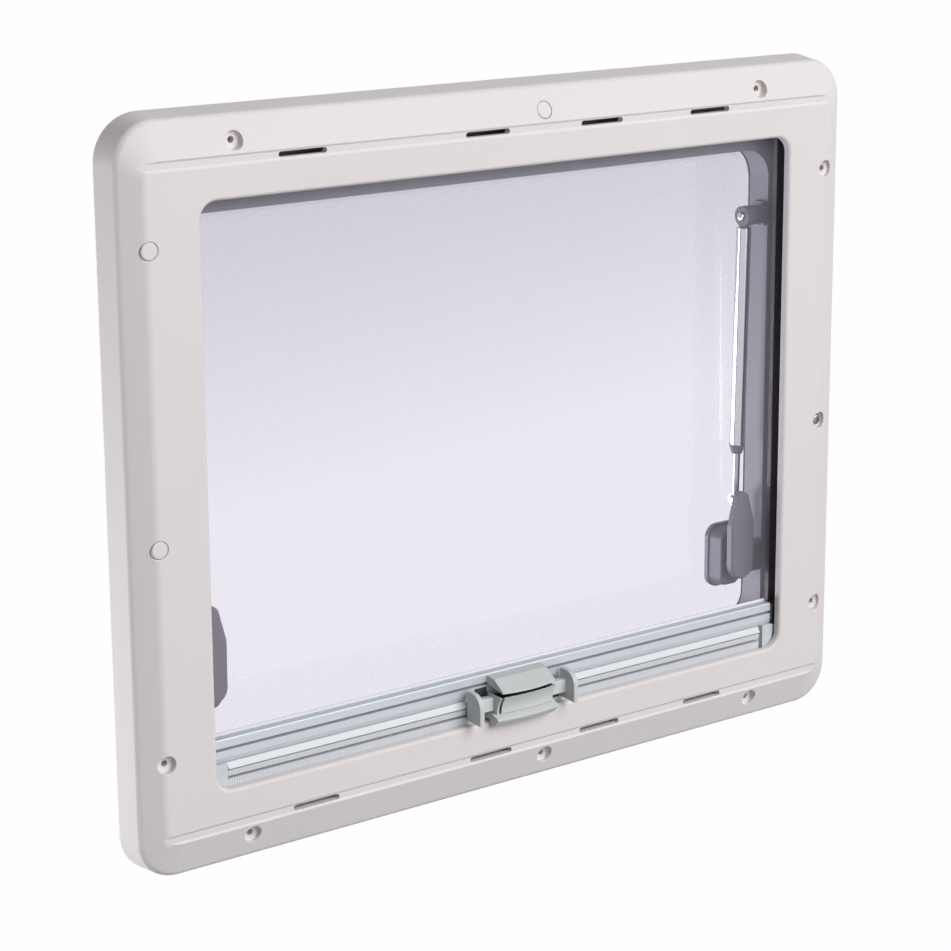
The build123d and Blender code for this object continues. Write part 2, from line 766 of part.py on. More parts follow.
# Gas stays: each hangs from a bracket on the jamb to the latch base on the pane
for side, s in SIDES:
    with BuildPart() as bracket:
        with BuildSketch(side_plane(s * jamb_x)):
            with Locations(((bracket_near + collar_depth) / 2, stay_top_z)):
                RectangleRounded(collar_depth - bracket_near, bracket_h, bracket_r)
            with Locations((stay_top_in, stay_top_z)):
                Circle(arm_d / 2)
        extrude(amount=s * bracket_t)
        with BuildSketch(side_plane(s * (jamb_x - bracket_t))):
            with Locations((stay_top_in, stay_top_z)):
                Circle(arm_d / 2)
        extrude(amount=s * (jamb_x - bracket_t - stay_x - eye_w / 2 - pin_play))
        with BuildSketch(side_plane(s * jamb_x)):
            with Locations((stay_top_in, stay_top_z)):
                Circle(stay_pin_d / 2)
        extrude(amount=s * (jamb_x - stay_x + eye_w / 2 + stay_pin_end))
    save(bracket, f"stay_bracket_{side}")

    with BuildPart() as head:
        with BuildSketch(side_plane(s * stay_x)):
            with Locations((stay_top_in, stay_top_z)):
                Circle(eye_d / 2)
        extrude(amount=eye_w / 2, both=True)
        with BuildSketch(stay_plane(s, 0)):
            Circle(eye_w / 2)
        extrude(amount=tube_from)
        with BuildSketch(stay_plane(s, tube_from)):
            Circle(tube_d / 2 - tube_wall - plug_play)
        extrude(amount=stay_plug)
        with BuildSketch(side_plane(s * stay_x)):
            with Locations((stay_top_in, stay_top_z)):
                Circle(stay_pin_d / 2 + pin_play)
        extrude(amount=eye_w, both=True, mode=Mode.SUBTRACT)
    save(head, f"stay_head_{side}")

    with BuildPart() as tube:
        with BuildSketch(stay_plane(s, tube_from)):
            Circle(tube_d / 2)
            Circle(tube_d / 2 - tube_wall, mode=Mode.SUBTRACT)
        extrude(amount=tube_to - tube_from)
    save(tube, f"stay_tube_{side}")

    with BuildPart() as collar:
        with BuildSketch(stay_plane(s, tube_to)):
            Circle(collar_d / 2)
        with BuildSketch(stay_plane(s, tube_to + collar_len)):
            Circle(collar_tip_d / 2)
        loft()
        with BuildSketch(stay_plane(s, tube_to)):
            Circle(tube_d / 2 - tube_wall - plug_play)
        extrude(amount=-stay_plug)
        with BuildSketch(stay_plane(s, tube_to - stay_plug)):
            Circle(rod_d / 2 + rod_play)
        extrude(amount=stay_plug + collar_len, mode=Mode.SUBTRACT)
    save(collar, f"stay_collar_{side}")

    with BuildPart() as rod:
        with BuildSketch(stay_plane(s, rod_from)):
            Circle(rod_d / 2)
        extrude(amount=stay_run - rod_from)
        with BuildSketch(side_plane(s * stay_x)):
            with Locations((stay_foot_in, stay_foot_z)):
                Circle(lug_d / 2)
        extrude(amount=lug_w / 2, both=True)
        with BuildSketch(side_plane(s * stay_x)):
            with Locations((stay_foot_in, stay_foot_z)):
                Circle(stay_pin_d / 2 + pin_play)
        extrude(amount=lug_w, both=True, mode=Mode.SUBTRACT)
    save(rod, f"stay_rod_{side}")

# Swivel latches: a base on the pane with an ear for the stay's foot, a lever, and a catch on the jamb
base_front = pane_inside + base_t
base_top = latch_z + base_over
base_low = latch_z - base_under
hub_in = base_front + hub_play
lever_in = base_front + lever_gap
lever_top_z = latch_z + lever_over - lever_top_r
base_mid_x = latch_x + (base_out - base_in) / 2
base_mid_z = (base_top + base_low) / 2
base_w = base_in + base_out
base_h = base_top - base_low
ear_x = stay_x + lug_w / 2 + ear_play
ear_low = latch_z + ear_root
for side, s in SIDES:
    with BuildPart() as base:
        with BuildSketch(level(pane_inside + base_foot_t)):
            with Locations((s * base_mid_x, base_mid_z)):
                RectangleRounded(base_w - 2 * base_step, base_h - 2 * base_step, base_r - base_step)
        extrude(amount=base_t - base_foot_t, taper=base_draft)
        fillet(base.edges().group_by(Axis.Y)[0], base_edge)
        with BuildSketch(level(pane_inside)):
            with Locations((s * base_mid_x, base_mid_z)):
                RectangleRounded(base_w, base_h, base_r)
            with Locations((s * (latch_x + ear_x + ear_t) / 2, (base_top + ear_low) / 2)):
                Rectangle(ear_x + ear_t - latch_x, base_top - ear_low)
        extrude(amount=base_foot_t)
        with BuildSketch(side_plane(s * ear_x)):
            with Locations((stay_foot_in, stay_foot_z)):
                Circle(lug_d / 2)
            with Locations(((pane_inside + stay_foot_in) / 2, (ear_low + stay_foot_z) / 2)):
                Rectangle(stay_foot_in - pane_inside, stay_foot_z - ear_low)
        extrude(amount=-s * ear_t)
        with BuildSketch(side_plane(s * ear_x)):
            with Locations((stay_foot_in, stay_foot_z)):
                Circle(stay_pin_d / 2)
        extrude(amount=s * (ear_x - stay_x + lug_w / 2 + stay_pin_end))
        with BuildSketch(level(base_front)):
            with Locations((s * latch_x, latch_z + recess_up)):
                Circle(recess_r)
        extrude(amount=-recess_t, mode=Mode.SUBTRACT)
        with BuildSketch(level(base_front)):
            with Locations((s * (latch_x - button_in), latch_z - button_under)):
                Circle(button_d / 2)
        extrude(amount=button_t)
        with BuildSketch(level(base_front)):
            with Locations((s * latch_x, latch_z)):
                Circle(pivot_d / 2)
        extrude(amount=lever_gap + lever_t / 2)
    save(base, f"latch_base_{side}")

    with BuildPart() as lever:
        with BuildSketch(level(lever_in)):
            with Locations((s * latch_x, lever_top_z)):
                Circle(lever_top_r)
            with Locations((s * latch_x, latch_z + lever_mid_up)):
                Circle(lever_mid_r)
            with Locations((s * latch_x, latch_z)):
                Circle(lever_end_r)
            make_hull()
        extrude(amount=lever_t)
        chamfer(lever.edges().group_by(Axis.Y)[0], lever_edge)
        with BuildSketch(level(hub_in)):
            with Locations((s * latch_x, latch_z)):
                Circle(hub_d / 2)
        extrude(amount=lever_gap - hub_play)
        with BuildSketch(level(lever_in - tongue_t)):
            with Locations((s * (latch_x + tongue_reach / 2), latch_z)):
                Rectangle(tongue_reach, tongue_h)
        extrude(amount=tongue_t)
        with BuildSketch(level(hub_in)):
            with Locations((s * latch_x, latch_z)):
                Circle(pivot_d / 2 + pin_play)
        extrude(amount=lever_gap - hub_play + lever_t / 2 + pin_play, mode=Mode.SUBTRACT)
    save(lever, f"latch_lever_{side}")

    catch_near = latch_x + tongue_reach - catch_lap
    with BuildPart() as keeper:
        with BuildSketch(level(lever_in - tongue_t - catch_play)):
            with Locations((s * (catch_near + jamb_x) / 2, latch_z)):
                Rectangle(jamb_x - catch_near, catch_h)
        extrude(amount=-catch_t)
    save(keeper, f"latch_catch_{side}")
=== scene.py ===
# %% [markdown]
# # A caravan window, seen from inside
# The solids come from the CAD model, already at their real size and place, so this lesson is about
# how they look: the finish of each material, the soft edges that moulds and dies leave, the woven
# flyscreen, the small fasteners, and a studio that shows a pale moulding against white. Everything is
# in metres. X runs to the right, Z is up, and the room is on the side of negative Y.

# %% Load the solids
import json
from math import hypot, pi, radians

import bpy
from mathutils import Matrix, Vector


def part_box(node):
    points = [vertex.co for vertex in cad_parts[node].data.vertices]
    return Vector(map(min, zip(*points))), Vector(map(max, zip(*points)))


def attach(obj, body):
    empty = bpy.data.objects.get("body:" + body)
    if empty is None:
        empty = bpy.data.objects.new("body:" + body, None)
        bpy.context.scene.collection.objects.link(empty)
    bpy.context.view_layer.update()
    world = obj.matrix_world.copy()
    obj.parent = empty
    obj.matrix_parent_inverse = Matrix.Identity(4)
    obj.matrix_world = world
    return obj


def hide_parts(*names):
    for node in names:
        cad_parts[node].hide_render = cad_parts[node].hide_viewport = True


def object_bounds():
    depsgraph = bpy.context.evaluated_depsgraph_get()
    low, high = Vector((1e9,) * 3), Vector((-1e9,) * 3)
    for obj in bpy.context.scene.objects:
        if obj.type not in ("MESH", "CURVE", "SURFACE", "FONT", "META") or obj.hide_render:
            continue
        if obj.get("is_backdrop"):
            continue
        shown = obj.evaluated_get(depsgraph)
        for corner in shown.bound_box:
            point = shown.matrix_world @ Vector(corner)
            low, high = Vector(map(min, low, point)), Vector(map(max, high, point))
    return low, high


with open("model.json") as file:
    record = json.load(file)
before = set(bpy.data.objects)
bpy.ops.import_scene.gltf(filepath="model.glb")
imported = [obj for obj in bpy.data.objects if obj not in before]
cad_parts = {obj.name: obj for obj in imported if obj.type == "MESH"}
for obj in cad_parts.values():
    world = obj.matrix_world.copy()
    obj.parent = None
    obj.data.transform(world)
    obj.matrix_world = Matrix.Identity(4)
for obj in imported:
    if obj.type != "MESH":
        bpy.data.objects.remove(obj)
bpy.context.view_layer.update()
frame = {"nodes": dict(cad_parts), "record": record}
scene = bpy.context.scene

# %% [markdown]
# ## Camera
# The picture was taken from the left of the window and from above its middle, with a long lens and
# the film plane kept nearly upright, so the upright edges stay almost parallel. A little vertical
# shift does the same here, because a camera that only tilts down would make them lean together.

# %% Place the camera
bpy.ops.object.select_all(action="DESELECT")
bpy.ops.object.camera_add(
    location=(-1.0586, -1.5426, 0.7546),
    rotation=(radians(77.38), radians(0.332), radians(-34.594)))
camera = bpy.context.object
camera.name = "photo_camera"
camera.data.sensor_width = 36
camera.data.lens = 93.24
camera.data.shift_y = -0.15
scene.camera = camera
scene.view_settings.view_transform = "Standard"
print("camera", camera.data.lens, "mm")

# %% [markdown]
# ## Small tools for materials
# Colours are written as sRGB hex values, as a colour picker gives them, and the shader wants linear
# light, so one function converts them. Another adds a node: its settings by name, its unlinked
# inputs by name or number, and its links. A wave texture has one band in a twentieth of two pi at a
# scale of one, so a last one works out the scale for a real pitch.


# %% Colour and node helpers
def linear(hex_colour):
    """Turn an sRGB hex colour into linear red, green, blue and an alpha of one."""
    parts = [int(hex_colour[i:i + 2], 16) / 255 for i in (1, 3, 5)]
    return [p / 12.92 if p <= 0.04045 else ((p + 0.055) / 1.055) ** 2.4 for p in parts] + [1]


def add_node(tree, kind, settings, links):
    """Add a node, give it its settings and input values, and link other nodes' outputs to it."""
    node = tree.nodes.new(kind)
    for name, value in settings.items():
        if isinstance(name, str) and hasattr(node, name):
            setattr(node, name, value)
        else:
            node.inputs[name].default_value = value
    for name, output in links.items():
        tree.links.new(output, node.inputs[name])
    return node


def new_material(name):
    """Make a material with an empty tree."""
    material = bpy.data.materials.new(name)
    material.use_nodes = True
    material.node_tree.nodes.clear()
    return material, material.node_tree


def wave_scale(pitch_mm):
    """Scale of a wave texture whose bands come once in each pitch."""
    return 2 * pi / 20 * 1000 / pitch_mm


print("mid grey is", round(linear("#808080")[0], 3))

# %% [markdown]
# ## Studio
# A product shot of a pale object on white needs the white to be behind the object, not on it. The
# floor and the world show white to the camera and to what is mirrored or seen through the panes, and
# they light the window only a little. Four lamps do the rest: a large soft one from the front, a
# little to the right and well above, a weaker one straight in front that opens the shadows in the
# recess, and two from behind and below on the left. The first of those brings out the side wall, and
# the second shines in through the panes, on the outer frame and the stays. They stand low so that the
# sill shades the catch from them, which keeps its left faces dark.

# %% Floor and world
WINDOW_MIDDLE = Vector((0, -0.04, 0.257))
FLOOR_Z = -1.0


def pale_rays(tree):
    """One where a ray comes from the camera, a mirror or a pane, and zero elsewhere."""
    path = add_node(tree, "ShaderNodeLightPath", {}, {})
    mirrored = add_node(tree, "ShaderNodeMath", {"operation": "MAXIMUM"},
                        {0: path.outputs["Is Camera Ray"], 1: path.outputs["Is Glossy Ray"]})
    through = add_node(tree, "ShaderNodeMath", {"operation": "MAXIMUM"},
                       {0: mirrored.outputs[0], 1: path.outputs["Is Transmission Ray"]})
    return through.outputs[0]


world = bpy.data.worlds.new("white_studio")
world.use_nodes = True
tree = world.node_tree
tree.nodes.clear()
fill = add_node(tree, "ShaderNodeBackground", {"Color": linear("#F4F3F6"), "Strength": 0.17}, {})
white = add_node(tree, "ShaderNodeBackground", {"Color": (1, 1, 1, 1), "Strength": 1}, {})
mixed = add_node(tree, "ShaderNodeMixShader", {},
                 {0: pale_rays(tree), 1: fill.outputs[0], 2: white.outputs[0]})
add_node(tree, "ShaderNodeOutputWorld", {}, {"Surface": mixed.outputs[0]})
scene.world = world

bpy.ops.object.select_all(action="DESELECT")
bpy.ops.mesh.primitive_plane_add(size=40, location=(0, 0, FLOOR_Z))
floor = bpy.context.object
floor.name = "floor"
paper, tree = new_material("white_paper")
share = add_node(tree, "ShaderNodeMath", {"operation": "MULTIPLY", 1: 0.99}, {0: pale_rays(tree)})
matt = add_node(tree, "ShaderNodeBsdfDiffuse", {"Color": linear("#8C8C8E")}, {})
glow = add_node(tree, "ShaderNodeEmission", {"Color": (1, 1, 1, 1), "Strength": 1}, {})
mixed = add_node(tree, "ShaderNodeMixShader", {},
                 {0: share.outputs[0], 1: matt.outputs[0], 2: glow.outputs[0]})
add_node(tree, "ShaderNodeOutputMaterial", {}, {"Surface": mixed.outputs[0]})
floor.data.materials.append(paper)
floor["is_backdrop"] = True
print("floor", FLOOR_Z)

# %% Lamps
LAMPS = (
    ("front_softbox", (0.29, -0.78, 0.56), 5.0, 3.4, 188),
    ("front_panel", (0.02, -0.99, 0.12), 5.0, 3.0, 66),
    ("left_softbox", (-0.82, 0.46, -0.33), 2.4, 1.0, 34),
    ("back_softbox", (-0.42, 0.82, -0.38), 2.4, 1.0, 20),
)
for name, direction, distance, size, watts in LAMPS:
    away = Vector(direction).normalized()
    bpy.ops.object.light_add(type="AREA", location=WINDOW_MIDDLE + away * distance)
    lamp = bpy.context.object
    lamp.name = name
    lamp.data.shape = "DISK"
    lamp.data.size = size
    lamp.data.energy = watts
    lamp.rotation_euler = away.to_track_quat("Z", "Y").to_euler()
    lamp.visible_camera = False
    lamp.visible_transmission = False
    print("lamp", name, watts, "W")

# %% [markdown]
# ## Moulded plastics
# The inner frame is moulded ABS in a warm pale grey, the catch is the same plastic in a cooler grey,
# and the latches and stay fittings are dark glass-filled nylon. Out of the mould each has a satin
# face with a fine spark-eroded grain, and a moulding is never quite even in tone. A faint cloud of
# two close greys gives that, and the grain goes in as a small bump. The real grain is about half a
# millimetre across, which is finer than a pixel here, so it is drawn at one and a half.


# %% Moulded plastics
def moulded(name, pale, deep, roughness, shine, grain_mm, bump):
    """Satin moulded plastic: two close tones in soft clouds, and a fine grain in the surface."""
    material, tree = new_material(name)
    place = add_node(tree, "ShaderNodeTexCoord", {}, {})
    clouds = add_node(tree, "ShaderNodeTexNoise", {"Scale": 9, "Detail": 3},
                      {"Vector": place.outputs["Object"]})
    tone = add_node(tree, "ShaderNodeMix", {"data_type": "RGBA", 6: linear(pale), 7: linear(deep)},
                    {0: clouds.outputs[0]})
    grain = add_node(tree, "ShaderNodeTexNoise", {"Scale": 1000 / grain_mm, "Detail": 2},
                     {"Vector": place.outputs["Object"]})
    relief = add_node(tree, "ShaderNodeBump", {"Strength": bump, "Distance": 0.0002},
                      {"Height": grain.outputs[0]})
    gloss = add_node(tree, "ShaderNodeMapRange",
                     {"To Min": roughness - 0.05, "To Max": roughness + 0.05},
                     {"Value": grain.outputs[0]})
    shader = add_node(tree, "ShaderNodeBsdfPrincipled", {"IOR": 1.53, "Specular IOR Level": shine},
                      {"Base Color": tone.outputs[2], "Roughness": gloss.outputs[0],
                       "Normal": relief.outputs[0]})
    add_node(tree, "ShaderNodeOutputMaterial", {}, {"Surface": shader.outputs[0]})
    print("material", name)
    return material


frame_abs = moulded("abs_pale_warm_grey", "#E3DDDD", "#DED8D8", 0.54, 0.22, 1.5, 0.12)
catch_abs = moulded("abs_cool_grey", "#D0D3D3", "#C9CCCD", 0.42, 0.25, 1.5, 0.10)
plug_abs = moulded("abs_light_grey", "#CED0D4", "#C6C9CD", 0.40, 0.4, 1.5, 0.10)
dark_nylon = moulded("nylon_dark_grey", "#736E7D", "#676270", 0.46, 0.5, 1.5, 0.2)
track_pvc = moulded("pvc_black", "#4A494F", "#3E3D43", 0.5, 0.4, 1.5, 0.15)
outer_foam = moulded("foam_mid_grey", "#ACAAB2", "#A09EA6", 0.6, 0.3, 2.5, 0.35)

# %% [markdown]
# ## Metals
# The flyscreen's bar and the hinge are extruded aluminium, anodised to a dull silver. The oxide film
# scatters most of the light, so only part of the shader is metallic. The die leaves very fine lines
# along the length, so the noise is drawn out along X. The stay's tube is polished steel and its rod is
# ground, with faint rings across it.


# %% Aluminium and steel
def drawn_metal(name, colour, metallic, roughness, spread, stretch, bump):
    """Metal with fine lines: noise squeezed by stretch, so that the lines run along the small axis."""
    material, tree = new_material(name)
    place = add_node(tree, "ShaderNodeTexCoord", {}, {})
    drawn = add_node(tree, "ShaderNodeMapping", {"Scale": stretch}, {"Vector": place.outputs["Object"]})
    lines = add_node(tree, "ShaderNodeTexNoise", {"Scale": 1, "Detail": 3}, {"Vector": drawn.outputs[0]})
    gloss = add_node(tree, "ShaderNodeMapRange",
                     {"To Min": roughness - spread, "To Max": roughness + spread},
                     {"Value": lines.outputs[0]})
    relief = add_node(tree, "ShaderNodeBump", {"Strength": bump, "Distance": 0.0001},
                      {"Height": lines.outputs[0]})
    shader = add_node(tree, "ShaderNodeBsdfPrincipled",
                      {"Base Color": linear(colour), "Metallic": metallic},
                      {"Roughness": gloss.outputs[0], "Normal": relief.outputs[0]})
    add_node(tree, "ShaderNodeOutputMaterial", {}, {"Surface": shader.outputs[0]})
    print("material", name)
    return material


bar_metal = drawn_metal("aluminium_anodised", "#C6CBD1", 0.35, 0.50, 0.06, (6, 900, 900), 0.1)
tube_metal = drawn_metal("steel_polished", "#CBCBD0", 1, 0.13, 0.03, (900, 900, 8), 0.05)
rod_metal = drawn_metal("steel_ground", "#A9ABB0", 1, 0.26, 0.05, (8, 8, 1200), 0.1)
roller_metal = drawn_metal("aluminium_mill", "#A6A8AD", 1, 0.42, 0.06, (6, 700, 700), 0.1)
zinc_metal = drawn_metal("steel_zinc_plated", "#8F8C8E", 1, 0.34, 0.08, (400, 400, 400), 0.2)

# %% [markdown]
# ## Painted blind bar
# The blind's bar is aluminium too, but powder coated in a pale grey, so it takes its tone from the
# paint and not from what it mirrors. Below its plain top ridge the front strips are ribbed upright,
# about two millimetres apart, and the ribs are shallow enough to go in as a bump with a slight change
# of tone.

# %% Powder coat with ribs
RIB_MM = 2.0
RIDGE_FOOT_Z = 0.0543
coated_bar, tree = new_material("aluminium_powder_coated")
place = add_node(tree, "ShaderNodeTexCoord", {}, {})
ribs = add_node(tree, "ShaderNodeTexWave", {"bands_direction": "X", "Scale": wave_scale(RIB_MM)},
                {"Vector": place.outputs["Object"]})
speckle = add_node(tree, "ShaderNodeTexNoise", {"Scale": 700, "Detail": 2},
                   {"Vector": place.outputs["Object"]})
height = add_node(tree, "ShaderNodeSeparateXYZ", {}, {0: place.outputs["Object"]})
strips = add_node(tree, "ShaderNodeMath", {"operation": "LESS_THAN", 1: RIDGE_FOOT_Z},
                  {0: height.outputs[2]})
ribbed = add_node(tree, "ShaderNodeMath", {"operation": "MULTIPLY"},
                  {0: ribs.outputs[1], 1: strips.outputs[0]})
tone = add_node(tree, "ShaderNodeMix",
                {"data_type": "RGBA", 6: linear("#D6D8DC"), 7: linear("#BFC2C7")},
                {0: ribbed.outputs[0]})
gloss = add_node(tree, "ShaderNodeMapRange", {"To Min": 0.40, "To Max": 0.52},
                 {"Value": speckle.outputs[0]})
relief = add_node(tree, "ShaderNodeBump", {"Strength": 0.25, "Distance": 0.0003},
                  {"Height": ribbed.outputs[0]})
shader = add_node(tree, "ShaderNodeBsdfPrincipled", {},
                  {"Base Color": tone.outputs[2], "Roughness": gloss.outputs[0],
                   "Normal": relief.outputs[0]})
add_node(tree, "ShaderNodeOutputMaterial", {}, {"Surface": shader.outputs[0]})
print("material", coated_bar.name)

# %% [markdown]
# ## Clear acrylic
# Both panes are clear acrylic with an index of 1.49. The faint lavender is the sum of many small
# reflections in the double sheet, so it is set as the tint of the plastic itself, and it deepens
# towards the top, as it does in the picture. Acrylic is soft and always has some hairline scratches,
# which a slight roughness gives. A renderer finds lamps through bent glass only by chance, so light
# that goes to a surface behind a pane passes it straight, as through a tinted film.

# %% Acrylic
# Between these heights the tint darkens towards the top.
TINT_DARKENS_FROM, TINT_DARKENS_TO = 0.24, 0.52
acrylic, tree = new_material("acrylic_clear")
place = add_node(tree, "ShaderNodeTexCoord", {}, {})
slope = add_node(tree, "ShaderNodeVectorMath", {"operation": "DOT_PRODUCT", 1: (-0.07, 0, 1)},
                 {0: place.outputs["Object"]})
rise = add_node(tree, "ShaderNodeMapRange", {"From Min": TINT_DARKENS_FROM, "From Max": TINT_DARKENS_TO},
                {"Value": slope.outputs[1]})
tint = add_node(tree, "ShaderNodeMix", {"data_type": "RGBA", 6: linear("#FBFAFD"), 7: linear("#EEEDF1")},
                {0: rise.outputs[0]})
haze = add_node(tree, "ShaderNodeTexNoise", {"Scale": 14, "Detail": 4},
                {"Vector": place.outputs["Object"]})
soft = add_node(tree, "ShaderNodeMapRange", {"To Min": 0.0, "To Max": 0.05},
                {"Value": haze.outputs[0]})
shader = add_node(tree, "ShaderNodeBsdfPrincipled", {"IOR": 1.49, "Transmission Weight": 1},
                  {"Base Color": tint.outputs[2], "Roughness": soft.outputs[0]})
passing = add_node(tree, "ShaderNodeBsdfTransparent", {}, {"Color": tint.outputs[2]})
path = add_node(tree, "ShaderNodeLightPath", {}, {})
lit = add_node(tree, "ShaderNodeMath", {"operation": "MAXIMUM"},
               {0: path.outputs["Is Shadow Ray"], 1: path.outputs["Is Diffuse Ray"]})
straight = add_node(tree, "ShaderNodeMath", {"operation": "MAXIMUM"},
                    {0: lit.outputs[0], 1: path.outputs["Is Glossy Ray"]})
mixed = add_node(tree, "ShaderNodeMixShader", {},
                 {0: straight.outputs[0], 1: shader.outputs[0], 2: passing.outputs[0]})
add_node(tree, "ShaderNodeOutputMaterial", {}, {"Surface": mixed.outputs[0]})
print("material", acrylic.name)

# %% [markdown]
# ## Rubber and blind cloth
# The seal is black EPDM with a dull bloom. The blind is a coated blackout cloth, of which only the
# strip below the bar is out of its roller: a plain weave in beige that shows as crossed ribs.

# %% Rubber and cloth
rubber, tree = new_material("rubber_black")
place = add_node(tree, "ShaderNodeTexCoord", {}, {})
bloom = add_node(tree, "ShaderNodeTexNoise", {"Scale": 120, "Detail": 4},
                 {"Vector": place.outputs["Object"]})
tone = add_node(tree, "ShaderNodeMix", {"data_type": "RGBA", 6: linear("#1B1B1D"), 7: linear("#2B2B2E")},
                {0: bloom.outputs[0]})
shader = add_node(tree, "ShaderNodeBsdfPrincipled", {"Roughness": 0.7}, {"Base Color": tone.outputs[2]})
add_node(tree, "ShaderNodeOutputMaterial", {}, {"Surface": shader.outputs[0]})
print("material", rubber.name)

CLOTH_MM = 1.6


def woven(name, deep, pale):
    """Plain weave: warp and weft ribs in two close tones, raised a little."""
    material, tree = new_material(name)
    place = add_node(tree, "ShaderNodeTexCoord", {}, {})
    warp = add_node(tree, "ShaderNodeTexWave",
                    {"bands_direction": "X", "Scale": wave_scale(CLOTH_MM)},
                    {"Vector": place.outputs["Object"]})
    weft = add_node(tree, "ShaderNodeTexWave",
                    {"bands_direction": "Z", "Scale": wave_scale(CLOTH_MM)},
                    {"Vector": place.outputs["Object"]})
    weave = add_node(tree, "ShaderNodeMath", {"operation": "MAXIMUM"},
                     {0: warp.outputs[1], 1: weft.outputs[1]})
    tone = add_node(tree, "ShaderNodeMix", {"data_type": "RGBA", 6: linear(deep), 7: linear(pale)},
                    {0: weave.outputs[0]})
    relief = add_node(tree, "ShaderNodeBump", {"Strength": 0.3, "Distance": 0.0003},
                      {"Height": weave.outputs[0]})
    shader = add_node(tree, "ShaderNodeBsdfPrincipled", {"Roughness": 0.8, "Sheen Weight": 0.2},
                      {"Base Color": tone.outputs[2], "Normal": relief.outputs[0]})
    add_node(tree, "ShaderNodeOutputMaterial", {}, {"Surface": shader.outputs[0]})
    print("material", name)
    return material


cloth = woven("blackout_cloth", "#8C8A7A", "#A3A18F")
hem_tape = woven("polyester_tape", "#D6D6DC", "#E6E6EA")

# %% [markdown]
# ## Dress the solids
# Each solid gets the finish of its material slot, and the parts of one slot that differ in the real
# window, such as the black side tracks among the dark plastics, get their own.

# %% Finishes by slot
FINISH = {
    "frame_plastic": frame_abs, "outer_frame_foam": outer_foam, "dark_plastic": dark_nylon,
    "grey_plastic": catch_abs, "bar_aluminium": bar_metal, "roller_tube": roller_metal,
    "mesh": cloth, "blind_cloth": cloth, "seal_rubber": rubber, "acrylic": acrylic,
    "polished_tube": tube_metal, "rod_steel": rod_metal,
}
OWN_FINISH = {
    "side_track_left": track_pvc, "side_track_right": track_pvc,
    "flyscreen_guide_left": track_pvc, "flyscreen_guide_right": track_pvc,
    "blind_bar": coated_bar, "blind_bar_cap_left": plug_abs, "blind_bar_cap_right": plug_abs,
}
slot_of = {part["node"]: part["material_slot"] for part in frame["record"]["subparts"]}
for name, node in frame["nodes"].items():
    node.data.materials.clear()
    node.data.materials.append(OWN_FINISH.get(name, FINISH[slot_of[name]]))
print("dressed", len(slot_of))

# %% [markdown]
# ## Soft edges
# No moulding or extrusion has a knife edge: the mould and the die round each one by a few tenths of a
# millimetre, and that thin rounding is what catches the light. A node's own mesh stays as it is, so
# each of these pieces is a copy. Its loose triangles are joined, flat neighbours become one face, the
# sharp edges are rounded with a Bevel, and Weighted Normal keeps the flat faces flat.

# %% Rounded copies
ROUNDED_MM = {
    "catch_cap": 0.4, "catch_tab_left": 0.9, "catch_tab_right": 0.9,
    "blind_bar": 0.3, "blind_bar_cap_left": 0.6, "blind_bar_cap_right": 0.6,
    "latch_lever_left": 0.8, "latch_lever_right": 0.8, "latch_base_left": 0.4, "latch_base_right": 0.4,
    "stay_head_left": 0.6, "stay_head_right": 0.6, "stay_bracket_left": 0.6, "stay_bracket_right": 0.6,
}
RIDES_LEVER = {"latch_lever_left": "lever_left", "latch_lever_right": "lever_right"}
CORNER_DEG, CREASE_DEG = 35, 23


def round_edges(piece, width, segments, corner_deg):
    """Round every edge of the active piece that turns by more than an angle."""
    bevel = piece.modifiers.new("rounding", "BEVEL")
    bevel.width = width
    bevel.segments = segments
    bevel.limit_method = "ANGLE"
    bevel.angle_limit = radians(corner_deg)
    bpy.ops.object.modifier_apply(modifier="rounding")


def joined_copy(name):
    """Copy a node into an object of its own, with its triangles joined and flat neighbours merged."""
    node = frame["nodes"][name]
    piece = bpy.data.objects.new(name + "_soft", node.data.copy())
    scene.collection.objects.link(piece)
    bpy.ops.object.select_all(action="DESELECT")
    piece.select_set(True)
    bpy.context.view_layer.objects.active = piece
    bpy.ops.mesh.customdata_custom_splitnormals_clear()
    bpy.ops.object.mode_set(mode="EDIT")
    bpy.ops.mesh.select_all(action="SELECT")
    bpy.ops.mesh.remove_doubles(threshold=0.000002)
    bpy.ops.mesh.dissolve_limited(angle_limit=radians(0.5))
    bpy.ops.mesh.select_all(action="DESELECT")
    bpy.ops.object.mode_set(mode="OBJECT")
    return piece


def finish_copy(piece, name):
    """Shade the copy smooth across its roundings only, and let it stand for its node."""
    bpy.ops.object.shade_smooth_by_angle(angle=radians(CREASE_DEG))
    piece.modifiers.new("flat_faces", "WEIGHTED_NORMAL").keep_sharp = True
    bpy.ops.object.modifier_apply(modifier="flat_faces")
    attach(piece, RIDES_LEVER.get(name, "window"))
    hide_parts(name)


for name, width_mm in ROUNDED_MM.items():
    piece = joined_copy(name)
    round_edges(piece, width_mm / 1000, 4, CORNER_DEG)
    finish_copy(piece, name)
    print(piece.name, len(piece.data.polygons), "faces")
